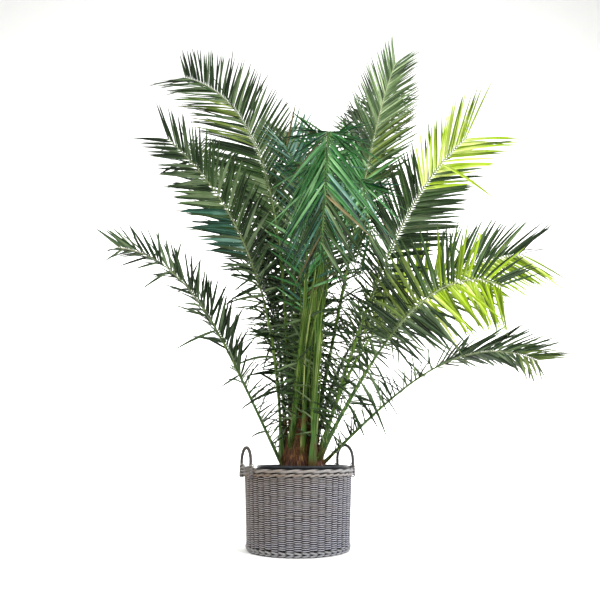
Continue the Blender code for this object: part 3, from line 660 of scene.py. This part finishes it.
# Spear leaves: bundles of narrow folded blades that haven't opened
spears = {
    "spear_front": dict(place=275, lean=7.0, heading=-8, length=0.86, width=0.050),
    "spear_left": dict(place=150, lean=2.0, heading=150, length=0.98, width=0.040),
    "spear_right": dict(place=35, lean=6.5, heading=12, length=1.06, width=0.044),
}
bundle = {"footOffset": 0.016, "sunk": 0.03, "blades": 48, "bladeWidth": 0.0095, "ring": 0.31, "turn": 0.618,
          "splay": (0.2, 3.0), "lengths": (0.5, 1.0), "twist": 10.0}
spearPile = Pile()
for spec in spears.values():
    tilt, count = math.radians(spec["lean"]), bundle["blades"]
    foot = bundle["footOffset"] * directions(math.radians(spec["place"]))[0]
    foot += (palm["trunkX"], 0.0, palm["soilTop"] + trunkTop - bundle["sunk"])
    ahead = math.sin(tilt) * directions(math.radians(spec["heading"]))[0] + math.cos(tilt) * upright
    outward = directions(2 * math.pi * (np.arange(count) * bundle["turn"]))[0]
    radius = bundle["ring"] * spec["width"] * np.sqrt((np.arange(count) + 0.5) / count)
    splay = np.radians(uniform(*bundle["splay"], count))[:, None]
    blades = outwardBlades(foot + outward * radius[:, None], ahead * np.cos(splay) + outward * np.sin(splay), outward,
                           spec["length"] * uniform(*bundle["lengths"], count))
    growBlades(spearPile, spearShape, blades, bundle["bladeWidth"], 0.0, normal(0.0, bundle["twist"], count))
spearPile.piece("spear_leaves", leafMaterial("palm_spear_fresh", spearTone), list(spears),
                "fresh_palm_leaf", 28, "blade")
print("spear leaves bundled")

# Trunk base: turned fibrous body, with loose fibres laid over it
trunk = {"sides": 72, "rows": 36, "bump": 0.0028, "seed": 7, "flutes": 40, "lean": 1.8, "waves": (23, 51), "climb": 9,
         "axis": 0.02}
fibres = {"count": 800, "width": 0.0016, "up": (0.0, 0.17), "length": (0.04, 0.13), "sway": 0.22,
          "proud": (0.0015, 0.011), "slope": ((0.0, 0.03, 0.1, 0.18, 0.25), (0.1, 0.25, 0.3, 0.2, 0.1))}
wisps = {"count": 190, "width": 0.0020, "up": (0.09, 0.29), "length": (0.05, 0.15), "sway": 0.38,
         "proud": (0.002, 0.016), "lean": (0.05, 0.12)}
base = palm["soilTop"] + palm["gap"]
heights = np.linspace(0.0, trunkTop, trunk["rows"])
bm = lathe([(0.0, base)] + [(float(trunkRadius(h)), base + h) for h in heights] + [(0.0, base + heights[-1])],
           trunk["sides"])
flutes = np.random.default_rng(trunk["seed"]).uniform(0.3, 1.0, trunk["flutes"])
for vert in bm.verts:
    radius = math.hypot(vert.co.x, vert.co.y)
    if radius > trunk["axis"]:
        turn = math.atan2(vert.co.y, vert.co.x) + trunk["lean"] * (vert.co.z - base)
        depth = flutes[int(turn / (2 * math.pi) * trunk["flutes"]) % trunk["flutes"]]
        wave = depth * math.sin(turn * trunk["waves"][0])
        wave += 0.5 * math.sin(turn * trunk["waves"][1] + trunk["climb"] * vert.co.z)
        vert.co.xy *= 1 + trunk["bump"] * wave / radius
bmesh.ops.translate(bm, verts=bm.verts, vec=(palm["trunkX"], 0, 0))
fibreStops = {0.25: "1E130D", 0.45: "44291B", 0.62: "653C26", 0.85: "8E6238"}
barkMaterial = cloudMaterial("palm_base_fibre", fibreStops, (160.0, 160.0, 14.0), 0.9, 0.8, 0.002)
bmeshPiece("trunk_base", bm, barkMaterial, ["trunk"], 60)

# Fibres that lie on the base, then straw-coloured wisps where the petioles leave it
fibrePile = Pile()
for kind in (fibres, wisps):
    count = kind["count"]
    outward, level = directions(uniform(0.0, 2 * math.pi, count))
    low = uniform(*kind["up"], count)
    if kind is fibres:
        length, lean = uniform(*kind["length"], count), -np.interp(low, *kind["slope"])
    else:
        lean = normal(*kind["lean"], count)
    way = upright + outward * lean[:, None] + level * normal(0.0, kind["sway"], count)[:, None]
    foot = outward * (trunkRadius(low) + uniform(*kind["proud"], count))[:, None]
    foot = foot + np.outer(base + low, upright) + (palm["trunkX"], 0.0, 0.0)
    if kind is wisps:
        length = uniform(*kind["length"], count)
    growBlades(fibrePile, spineShape, outwardBlades(foot, way, outward, length), kind["width"])
strandStops = {0.3: "33190D", 0.5: "6E4424", 0.7: "A8804A"}
fibrePile.piece("trunk_fibres", cloudMaterial("palm_loose_fibre", strandStops, (40.0, 40.0, 40.0), 0.85), ["trunk"],
                "palm_fibre", 30, "blade")
print("trunk base turned")

# Potting soil: a crumbly disc with bark chips
soil = {"x": 0.018, "radius": 0.1838, "rings": 46, "sides": 120, "height": 0.3045, "lump": 0.0035, "seed": 12,
        "waves": ((190, 170, 1.3), (410, 330)), "fine": 0.6, "edge": 0.97, "edgeDrop": 0.003, "under": 0.250}
chips = {"count": 900, "across": (0.20, 0.95), "height": 0.3065, "bevel": 0.22, "tilt": 0.3,
         "sizes": ((0.003, 0.009), (0.002, 0.005), (0.0012, 0.003))}
bm = lathe([(soil["radius"] * s, soil["height"]) for s in np.linspace(0.0, 1.0, soil["rings"])], soil["sides"])
soilDraws = np.random.default_rng(soil["seed"])
(waveX, waveY, shift), (fineX, fineY) = soil["waves"]
for vert in bm.verts:
    rough = math.sin(vert.co.x * waveX) * math.sin(vert.co.y * waveY + shift)
    rough += soil["fine"] * math.sin(vert.co.x * fineX + vert.co.y * fineY)
    vert.co.z = soil["height"] + soil["lump"] * (0.5 * rough + soilDraws.uniform(-0.5, 0.5))
    if math.hypot(vert.co.x, vert.co.y) > soil["edge"] * soil["radius"]:
        vert.co.z -= soil["edgeDrop"]
rim = bmesh.ops.extrude_edge_only(bm, edges=[e for e in bm.edges if e.is_boundary])
for vert in movedParts(rim, bmesh.types.BMVert):
    vert.co = Vector((vert.co.x * soil["edge"], vert.co.y * soil["edge"], soil["under"]))
bmesh.ops.holes_fill(bm, edges=[e for e in bm.edges if e.is_boundary])
bmesh.ops.translate(bm, verts=bm.verts, vec=(soil["x"], 0, 0))
soilStops = {0.3: "17110D", 0.5: "2E2219", 0.62: "463526", 0.8: "6B5640"}
earth = cloudMaterial("moist_potting_soil", soilStops, (90.0, 90.0, 90.0), 0.95, 1.0, 0.004)
bmeshPiece("soil_surface", bm, earth, ["soil"], 60)

bm = bmesh.new()
bmesh.ops.create_cube(bm, size=1.0)
bmesh.ops.bevel(bm, geom=list(bm.edges), offset=chips["bevel"], offset_type="OFFSET", segments=1, profile=0.5,
                affect="EDGES", material=-1)
chipCorners, chipFaces, _ = takeArrays(bm)
count = chips["count"]
outward = directions(soilDraws.uniform(0.0, 2 * math.pi, count))[0]
radius = np.sqrt(soilDraws.uniform(*chips["across"], count)) * soil["radius"]
sizes = np.stack([soilDraws.uniform(*size, count) for size in chips["sizes"]], -1)
ahead, level = directions(soilDraws.uniform(0.0, math.pi, count))
local = chipCorners[None] * sizes[:, None]
turned = local[..., :1] * ahead[:, None] + local[..., 1:2] * level[:, None]
turned[..., 2] = local[..., 2] + local[..., 0] * soilDraws.normal(0.0, chips["tilt"], count)[:, None]
turned += (outward * radius[:, None] + (soil["x"], 0.0, chips["height"]))[:, None]
chipPile = Pile()
chipPile.add(turned.reshape(-1, 3), tileFaces(chipFaces, count, len(chipCorners)))
chipStops = {0.35: "2A1C12", 0.55: "5A4028", 0.75: "8A6A48"}
chipPile.piece("bark_chips", cloudMaterial("composted_bark", chipStops, (60.0, 60.0, 60.0), 0.9), ["soil"],
               "potting_soil", 30)
print("soil laid")

# Nursery pot: thin black plastic with a rolled lip
pot = {"x": 0.018, "steps": 120,
       "profile": ((0.0, 0.0123), (0.160, 0.0123), (0.1892, 0.313), (0.1922, 0.315), (0.1922, 0.322),
                   (0.1912, 0.323), (0.187, 0.323), (0.185, 0.303), (0.157, 0.0153), (0.0, 0.0153))}
bm = lathe(pot["profile"], pot["steps"])
bmesh.ops.translate(bm, verts=bm.verts, vec=(pot["x"], 0, 0))
potStops = {0.3: "14171B", 0.6: "20252B", 0.8: "39434D"}
potPlastic = cloudMaterial("black_nursery_plastic", potStops, (25.0, 25.0, 25.0), 0.38, 0.2, 0.0006)
bmeshPiece("nursery_pot", bm, potPlastic, ["inner_pot"], 40)
print("nursery pot turned")

# Basket: rings of rattan core woven over and behind upright stakes
basket = {
    "footRadius": 0.209, "topRadius": 0.2245, "round": 0.013, "top": 0.291, "stakes": 44, "rows": 68,
    "low": 0.0240, "high": 0.2800, "strandTall": 0.00180, "strandDeep": 0.0018, "strandSides": 5, "perStake": 6,
    "wave": 0.0042, "square": 0.45, "wobble": 0.00045, "wobbles": 5, "shifts": (0, 6), "core": 0.0045,
    # crossing and shade set the painted shade: half at the crossings, full where a strand runs behind a stake
    "patchy": 0.50, "patchFrom": 0.2, "crossing": 0.53, "shade": 0.92,
    "stakeRadius": 0.0027, "stakeDepth": 0.7, "stakeEnds": (0.010, 0.296), "stakeRings": 12, "stakeSides": 6,
    "stakeLot": 0.37, "stakeGrain": 0.05,
    "lining": ((0.0, 0.004), (0.189, 0.004), (0.2005, 0.016), (0.216, 0.288), (0.214, 0.300), (0.212, 0.288),
               (0.1965, 0.016), (0.0, 0.012)),
}
strandMap = {"along": 0.22, "apart": 3.7, "across": 0.0022}  # metres of a strand's skin, for its grain


def basketRadius(height):
    share = (height - basket["round"]) / (basket["top"] - basket["round"])
    inset = basket["round"] * (1 - np.sqrt(1 - np.clip(1 - height / basket["round"], 0.0, 1.0) ** 2))
    return between((basket["footRadius"], basket["topRadius"]), share) - inset


def ringTemplate(steps, sides):
    # A thin ring spun from a small circle, as turn, offset out and offset up
    far = 10.0
    bm = bmesh.new()
    section = bmesh.ops.create_circle(bm, segments=sides, radius=1.0, cap_ends=False)["verts"]
    bmesh.ops.rotate(bm, verts=section, cent=(0, 0, 0), matrix=Matrix.Rotation(math.pi / 2, 3, "X"))
    bmesh.ops.translate(bm, verts=section, vec=(far, 0, 0))
    bmesh.ops.spin(bm, geom=section + list(bm.edges), cent=(0, 0, 0), axis=(0, 0, 1), angle=2 * math.pi, steps=steps,
                   use_merge=True)
    corners, faces, _ = takeArrays(bm)
    x, y, up = corners.T
    return np.arctan2(y, x), np.hypot(x, y) - far, up, faces


def strandSet(pile, template, radius, height, wide, tall, lots, inset):
    # radius and height give each ring's centre line at every turn
    turn, out, up, faces = template
    count, size = len(radius), len(turn)
    across = radius + out * wide
    corners = np.stack([across * np.cos(turn), across * np.sin(turn), height + up * tall], -1)
    lots, inset = (np.broadcast_to(values, (count, size)).ravel() for values in (lots, inset))
    pile.add(corners.reshape(-1, 3), tileFaces(faces, count, size), lot=lots, inset=inset,
             uvX=np.tile(turn, count) * strandMap["along"] + np.repeat(np.arange(count) * strandMap["apart"], size),
             uvY=np.tile(np.arctan2(up, out) * strandMap["across"], count))


weave = ringTemplate(basket["stakes"] * basket["perStake"], basket["strandSides"])
rows, turn = basket["rows"], weave[0]
rowHeight = np.linspace(basket["low"], basket["high"], rows)
phase = turn * basket["stakes"] / 2
ripple = np.cos(phase) * np.where(np.arange(rows) % 2 == 0, 1.0, -1.0)[:, None]
ripple = np.sign(ripple) * np.abs(ripple) ** basket["square"]
wobble = normal(0.0, basket["wobble"], (rows, 1))
wobble = wobble * np.sin(turn * basket["wobbles"] + uniform(*basket["shifts"], (rows, 1)))
# Each strand has weathered unevenly from one stake to the next
stretch = np.floor(phase / math.pi + 0.5).astype(int) % basket["stakes"]
weathered = uniform(0.0, 1.0, (rows, basket["stakes"]))[:, stretch]
weavePile = Pile()
# Its inset mark is painted shade, full behind the stakes and half at the crossings, with random darker stretches where
# a strand has weathered
strandSet(weavePile, weave, basketRadius(rowHeight)[:, None] - basket["core"] + basket["wave"] * ripple,
          rowHeight[:, None] + wobble, basket["strandDeep"], basket["strandTall"],
          0.5 * uniform(0.0, 1.0, (rows, 1)) + 0.5 * weathered,
          np.clip(basket["crossing"] - basket["shade"] * ripple + basket["patchy"] * (weathered - basket["patchFrom"]),
                  0.0, 1.0))
rattanStops = {0.0: "949AAC", 0.35: "A3A3AC", 0.65: "A59F9F", 1.0: "9D9188"}
weavePile.piece("basket_weave", rattanMaterial("weathered_rattan_core", rattanStops), ["basket"],
                "weathered_rattan", 60, "strand")

stakePile = Pile()
heights = np.linspace(*basket["stakeEnds"], basket["stakeRings"])
for k in range(basket["stakes"]):
    out, level = directions(2 * math.pi * k / basket["stakes"])
    spots = np.outer(basketRadius(heights) - basket["core"], out) + np.outer(heights, upright)
    corners, faces, shares = sweep(spots, upright, level, -out, basket["stakeRadius"],
                                   basket["stakeRadius"] * basket["stakeDepth"], basket["stakeSides"], heights)
    stakePile.add(corners, faces, lot=(k * basket["stakeLot"]) % 1.0, uvX=shares + k,
                  uvY=corners[:, 0] * basket["stakeGrain"])
stakeStops = {0.0: "2E2C2D", 0.5: "3A3633", 1.0: "3E352E"}
stakePile.piece("basket_stakes", rattanMaterial("shaded_rattan_stake", stakeStops, skin="56504B"), ["basket"],
                "weathered_rattan", 60, "strand")

# Lining behind the weave, so that no light comes through its gaps, and the woven floor
bm = lathe(basket["lining"], 2 * basket["stakes"])
liningStops = {0.3: "1C1A1B", 0.6: "2B2725", 0.8: "3C3531"}
liningMaterial = cloudMaterial("shaded_inner_weave", liningStops, (60.0, 60.0, 240.0), 0.9, 0.6, 0.002)
bmeshPiece("basket_lining", bm, liningMaterial, ["basket"], 40)

# Borders: two strands wound round each other along the rim, under it and twice along the foot
borders = {  # radius, height, spread out and up, strand, turns, first lot, painted shade
    "rim": (0.2232, 0.3030, 0.0034, 0.0026, 0.0052, 11, 0.25, 0.0),
    "underRim": (0.2238, 0.2885, 0.0030, 0.0024, 0.0043, 22, 0.75, 0.15),
    "foot": (basketRadius(0.0065) - 0.0042, 0.0065, 0.0042, 0.0022, 0.0036, 22, 0.05, 0.55),
    "overFoot": (basketRadius(0.0155) - 0.0042, 0.0155, 0.0042, 0.0022, 0.0036, -22, 0.25, 0.55),
}
border = {"steps": 528, "sides": 8, "lotStep": 0.3, "dip": 1.1}
borderTemplate = ringTemplate(border["steps"], border["sides"])
borderPile = Pile()
for radius, height, spreadOut, spreadUp, strand, turns, firstLot, shade in borders.values():
    for k in range(2):
        phase = borderTemplate[0] * turns + math.pi * k
        # Its inset mark is painted shade: the border's shade from the table, deeper where the strand turns inward
        strandSet(borderPile, borderTemplate, (radius + spreadOut * np.cos(phase))[None],
                  (height + spreadUp * np.sin(phase))[None], strand, strand, firstLot + border["lotStep"] * k,
                  np.clip(shade - border["dip"] * np.cos(phase), 0.0, 1.0))
rimStops = {0.0: "8C8F98", 0.5: "949292", 0.85: "8C847D", 1.0: "7C6C5E"}
borderPile.piece("basket_borders", rattanMaterial("weathered_rattan_border", rimStops), ["basket"],
                 "weathered_rattan", 60, "strand")
print("basket woven")

# Hoop handles: a bent rattan core with a close wrapping, lashed to the rim
handle = {"tube": 0.0066, "sides": 12, "foot": 0.280, "rimRadius": 0.230, "clear": 0.0075, "wrapPitch": 0.0052,
          "wrapRise": 0.0006, "perWrap": 4, "look": 0.002, "lot": 0.4, "grain": (3, 0.003)}
lash = {"reach": 0.0098, "wide": 0.0027, "deep": 0.0020, "inward": 0.003, "steps": 24, "sides": 6, "dark": 0.45,
        "lots": (0.1, 0.2),
        # Strands, half width, slant, height of the first and pitch, round one leg or round both at once
        "leg": (7, 0.0100, 0.0085, 0.004, 0.0058), "both": (5, 0.008, 0.0050, 0.012, 0.0062)}
handles = {"handle_left": dict(bearing=204, half=0.058, shoulder=0.338, top=0.392),
           "handle_right": dict(bearing=26, half=0.066, shoulder=0.348, top=0.405)}


def hoopPlace(spec, travel, legs, arch, level):
    # Distance along the hoop to its place in the hoop's plane
    turn = math.pi * np.clip((travel - legs) / arch, 0.0, 1.0)
    rise = np.minimum(np.minimum(travel, 2 * legs + arch - travel), legs)
    rise = rise + handle["foot"] + (spec["top"] - spec["shoulder"]) * np.sin(turn)
    return np.outer(-spec["half"] * np.cos(turn), level) + np.outer(rise, upright)


wrapStops = {0.0: "414349", 0.4: "4A4A4C", 0.7: "4C4948", 1.0: "46413D"}
wrapped = rattanMaterial("wrapped_rattan_peel", wrapStops, (120.0, 700.0, 1.0), "7E7D80")
lashing = rattanMaterial("weathered_rattan_lashing", {0.0: "64656A", 0.5: "78767A", 1.0: "827C76"})
for name, spec in handles.items():
    half = spec["half"]
    plane = math.sqrt((handle["rimRadius"] + handle["clear"] + palm["gap"]) ** 2 - half ** 2)
    out, level = directions(math.radians(spec["bearing"]))
    legs = spec["shoulder"] - handle["foot"]
    arch = math.pi * math.sqrt((half ** 2 + (spec["top"] - spec["shoulder"]) ** 2) / 2)
    total = 2 * legs + arch
    travel = np.linspace(0.0, total, int(total / handle["wrapPitch"] * handle["perWrap"]) + 1)
    look = handle["look"]
    spots, onward, backward = (hoopPlace(spec, np.clip(travel + shift, 0.0, total), legs, arch, level)
                               for shift in (0.0, look, -look))
    ahead = unit(onward - backward)
    swell = handle["tube"] + handle["wrapRise"] * np.cos(2 * math.pi * travel / handle["wrapPitch"])
    corners, faces, shares = sweep(out * plane + spots, ahead, np.cross(ahead, out), out, swell, swell,
                                   handle["sides"], travel)
    hoopPile, lashPile = Pile(), Pile()
    hoopPile.add(corners, faces, lot=handle["lot"], uvX=shares * handle["grain"][0],
                 uvY=np.tile(np.arange(handle["sides"]) * handle["grain"][1], len(travel)))
    # Lashings: strands that cross over each leg and bind it to the rim, and a few that bind both legs at once
    turn = np.linspace(0.0, 2 * math.pi, lash["steps"] + 1)
    for beside, spread, kind in ((-half, 0.0, "leg"), (half, 0.0, "leg"), (0.0, half, "both")):
        count, wide, lift, start, pitch = lash[kind]
        wide += spread
        for k in range(count):
            centre = out * (plane - lash["inward"]) + level * beside + upright * (handle["foot"] + start + k * pitch)
            radial, tangent = directions(math.atan2(centre[1], centre[0]))
            spots = centre + np.outer(np.cos(turn) * wide, tangent) + np.outer(np.sin(turn) * lash["reach"], radial)
            spots[:, 2] += lift * (-1) ** k * np.cos(turn)
            ahead = unit(np.outer(np.cos(turn) * lash["reach"], radial) - np.outer(np.sin(turn) * wide, tangent))
            corners, faces, shares = sweep(spots, ahead, upright, np.cross(ahead, upright), lash["wide"],
                                           lash["deep"], lash["sides"], turn / (2 * math.pi))
            lashPile.add(corners, faces, lot=lash["lots"][0] + lash["lots"][1] * k, uvX=shares, uvY=corners[:, 2],
                         inset=lash["dark"] * (k % 2))
    hoopPile.piece(name + "_wrapped", wrapped, [name], "wrapped_rattan", 60, "strand")
    lashPile.piece(name + "_lashings", lashing, [name], "wrapped_rattan", 60, "strand")
print("handles wrapped")

# Floor and soft studio light
studio = {"half": 14.0, "backdrop": 4.5, "curve": 1.6, "top": 14.0, "bend": 0.9, "floorColour": "F6F6F4", "sky": 0.72}
bm = bmesh.new()
depths = (-studio["half"], studio["backdrop"], studio["backdrop"] + studio["curve"],
          studio["backdrop"] + studio["curve"])
edge = [bm.verts.new((-studio["half"], y, z)) for y, z in zip(depths, (0.0, 0.0, studio["curve"], studio["top"]))]
for pair in zip(edge, edge[1:]):
    bm.edges.new(pair)
bmesh.ops.bevel(bm, geom=edge[1:3], offset=studio["bend"], offset_type="OFFSET", segments=12, profile=0.5,
                affect="VERTICES", material=-1)
grown = bmesh.ops.extrude_edge_only(bm, edges=list(bm.edges))
bmesh.ops.translate(bm, verts=movedParts(grown, bmesh.types.BMVert), vec=(2 * studio["half"], 0, 0))
bmesh.ops.recalc_face_normals(bm, faces=bm.faces)
floorMesh = bpy.data.meshes.new("studio_floor")
bm.to_mesh(floorMesh)
bm.free()
floorMesh.shade_smooth()
paper = newMaterial("matt_paper_sweep", 0.9)[0]
paper.node_tree.nodes["Principled BSDF"].inputs["Base Color"].default_value = hexColour(studio["floorColour"])
floorMesh.materials.append(paper)
floor = bpy.data.objects.new("studio_floor", floorMesh)
bpy.context.collection.objects.link(floor)

world = bpy.context.scene.world or bpy.data.worlds.new("studio")
bpy.context.scene.world = world
world.use_nodes = True
sky = world.node_tree.nodes["Background"]
sky.inputs["Color"].default_value = hexColour("FFFFFF")
sky.inputs["Strength"].default_value = studio["sky"]
lights = {  # place, aim, size, power
    "key": ((2.8, -2.6, 3.8), (0.1, 0.0, 1.2), 1.6, 270.0),
    "fill": ((-3.2, -2.2, 2.4), (0.0, 0.0, 1.0), 3.0, 40.0),
    "back": ((0.6, 3.4, 4.2), (0.0, 0.0, 1.4), 3.0, 120.0),
    "backdrop_left": ((-3.4, 1.8, 3.2), (-1.0, 5.8, 2.8), 2.4, 390.0),
    "backdrop_right": ((3.4, 1.8, 3.2), (1.0, 5.8, 2.8), 2.4, 390.0),
}
for name, (spot, aim, size, power) in lights.items():
    data = bpy.data.lights.new(name, "AREA")
    data.shape, data.size, data.energy = "SQUARE", size, power
    lamp = bpy.data.objects.new(name, data)
    lamp.location = spot
    lamp.rotation_euler = (Vector(aim) - Vector(spot)).to_track_quat("-Z", "Y").to_euler()
    bpy.context.collection.objects.link(lamp)
print("studio lit")
